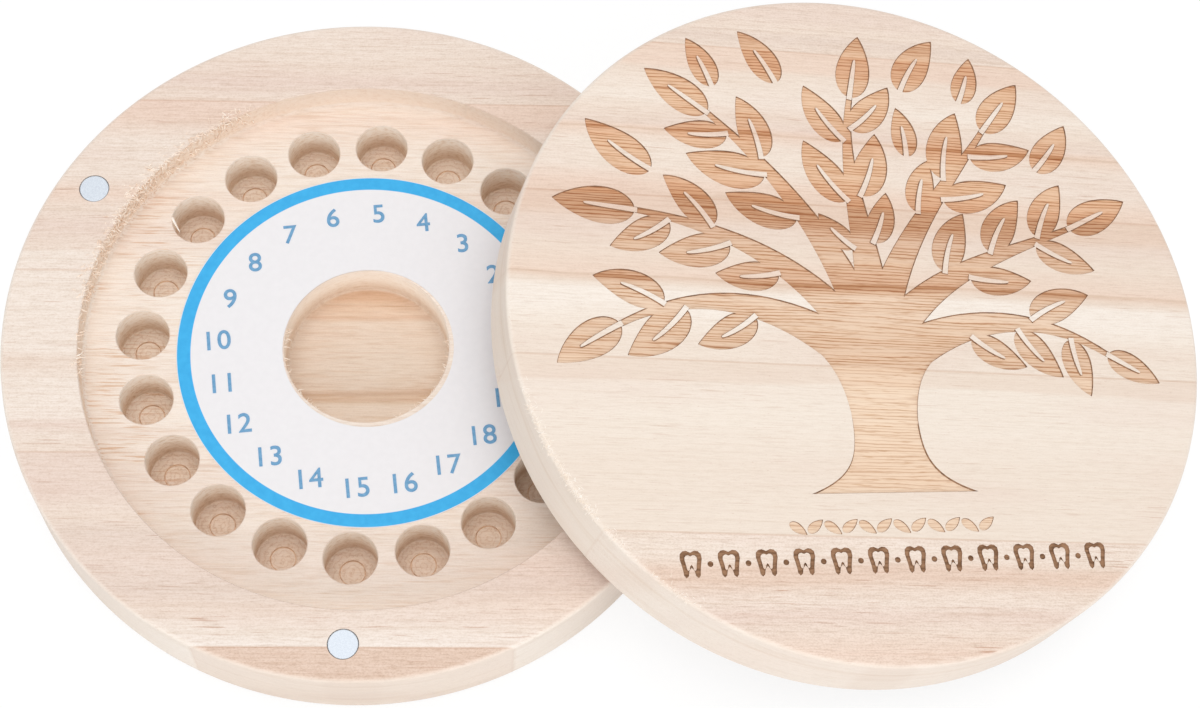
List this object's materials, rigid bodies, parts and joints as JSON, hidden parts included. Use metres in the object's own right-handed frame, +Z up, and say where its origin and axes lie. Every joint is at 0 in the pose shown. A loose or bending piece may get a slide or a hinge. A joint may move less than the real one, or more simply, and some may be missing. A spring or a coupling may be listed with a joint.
{
  "type": "baby tooth box",
  "caption": "Round pale wooden keepsake box: a disc base with a ring of tooth holes round a central well, and a flat engraved disc lid leaning against it.",
  "frame": {"origin": "centre of the base's underside", "axes": "+Z up out of the base; +X along the base's grain, the way the lid leans"},
  "size_m": [0.2018, 0.12, 0.0349],
  "materials": {
    "base_wood": "pale, sanded and unvarnished, with straight grain and fine brown lines",
    "lid_wood": "pale, sanded and unvarnished, engraved by burning on top",
    "magnet_metal": "bright nickel plating, slightly satin",
    "label_paper": "smooth white paper with a printed blue border"
  },
  "bodies": {
    "base": {"base_strip_1": "base_wood", "base_strip_2": "base_wood", "base_strip_3": "base_wood", "base_strip_4": "base_wood", "base_strip_5": "base_wood", "base_magnet_1": "magnet_metal", "base_magnet_2": "magnet_metal", "base_magnet_3": "magnet_metal", "label_ring": "label_paper"},
    "lid": {"lid_strip_1": "lid_wood", "lid_strip_2": "lid_wood", "lid_strip_3": "lid_wood", "lid_strip_4": "lid_wood", "lid_strip_5": "lid_wood", "lid_magnet_1": "magnet_metal", "lid_magnet_2": "magnet_metal", "lid_magnet_3": "magnet_metal"}
  },
  "joints": [
    {"name": "lid_lift", "type": "slide", "parent": "base", "child": "lid", "axis": [0, 0, 1], "range_m": [0, 0.06]}
  ]
}
